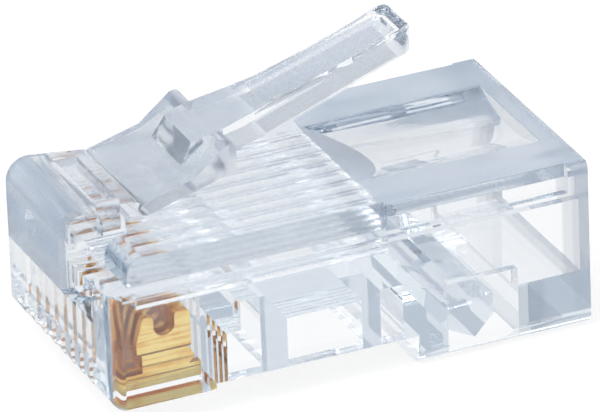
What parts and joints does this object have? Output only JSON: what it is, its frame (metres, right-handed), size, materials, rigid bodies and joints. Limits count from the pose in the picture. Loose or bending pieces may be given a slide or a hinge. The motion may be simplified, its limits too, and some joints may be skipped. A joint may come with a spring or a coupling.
{
  "type": "modular plug",
  "caption": "Clear modular plug with a row of gold-plated contact blades in the nose, a cable entry at the rear and a flexing latch lever on top.",
  "frame": {"origin": "centre of the plug's width and length, on the plane of the foot", "axes": "+X across the row of contacts, +Y from the nose to the cable entry, +Z from the foot to the latch"},
  "size_m": [0.0116, 0.023, 0.0136],
  "materials": {
    "clear_moulding": "clear, gloss moulded polycarbonate",
    "contact_plating": "gold-plated stamped copper alloy"
  },
  "bodies": {
    "housing": {"housing": "clear_moulding", "contact_1": "contact_plating", "contact_2": "contact_plating", "contact_3": "contact_plating", "contact_4": "contact_plating", "contact_5": "contact_plating", "contact_6": "contact_plating", "contact_7": "contact_plating", "contact_8": "contact_plating"},
    "latch": {"latch_lever": "clear_moulding"}
  },
  "joints": [
    {"name": "latch_flex", "type": "hinge", "parent": "housing", "child": "latch", "pos_m": [0, -0.0075, 0.00875], "axis": [1, 0, 0], "range_deg": [-18, 0], "stiffness_Nm_per_rad": 0.12}
  ]
}
